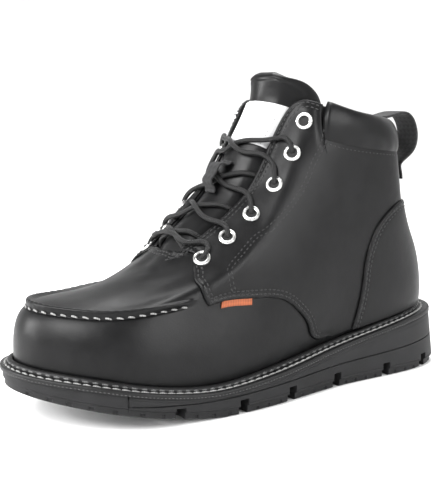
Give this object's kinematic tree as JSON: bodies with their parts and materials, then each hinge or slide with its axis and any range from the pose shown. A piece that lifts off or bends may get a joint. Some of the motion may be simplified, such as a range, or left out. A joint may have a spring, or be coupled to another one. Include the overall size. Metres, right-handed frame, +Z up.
{
  "type": "wedge sole work boot",
  "caption": "Black leather lace-up work boot, left foot, with a raised moc toe seam, padded collar, flat wedge sole, crossed laces through metal eyelets and a webbing pull loop at the heel.",
  "frame": {"origin": "on the floor under the middle of the box around the whole boot", "axes": "+Z up; +Y towards the heel, so the toe points to -Y; +X towards the outer side of a left foot"},
  "size_m": [0.1134, 0.3052, 0.1966],
  "materials": {
    "tread_rubber": "matt, finely ribbed",
    "wedge_rubber": "matt",
    "welt": "satin, stitched",
    "insole_board": "matt board",
    "leather": "smooth, satin",
    "overlay_leather": "smooth, satin",
    "padded_leather": "soft, satin",
    "webbing": "woven",
    "lace_cord": "braided, round",
    "eyelet_metal": "satin nickel",
    "white_patch": "woven, bare",
    "orange_patch": "woven, bare"
  },
  "bodies": {
    "root": {"outsole": "tread_rubber", "midsole": "wedge_rubber", "welt": "welt", "insole": "insole_board", "upper": "leather", "quarter_outer": "overlay_leather", "quarter_inner": "overlay_leather", "heel_counter": "overlay_leather", "collar": "padded_leather", "tongue": "padded_leather", "tongue_label": "white_patch", "lace_keeper": "webbing", "pull_loop": "webbing", "side_tag": "orange_patch", "eyelet_outer_1": "eyelet_metal", "eyelet_outer_2": "eyelet_metal", "eyelet_outer_3": "eyelet_metal", "eyelet_outer_4": "eyelet_metal", "eyelet_outer_5": "eyelet_metal", "eyelet_outer_6": "eyelet_metal", "eyelet_inner_1": "eyelet_metal", "eyelet_inner_2": "eyelet_metal", "eyelet_inner_3": "eyelet_metal", "eyelet_inner_4": "eyelet_metal", "eyelet_inner_5": "eyelet_metal", "eyelet_inner_6": "eyelet_metal", "lace_bar": "lace_cord", "lace_crossing_1_2": "lace_cord", "lace_crossing_2_3": "lace_cord", "lace_crossing_3_4": "lace_cord", "lace_crossing_4_5": "lace_cord"}
  },
  "joints": []
}
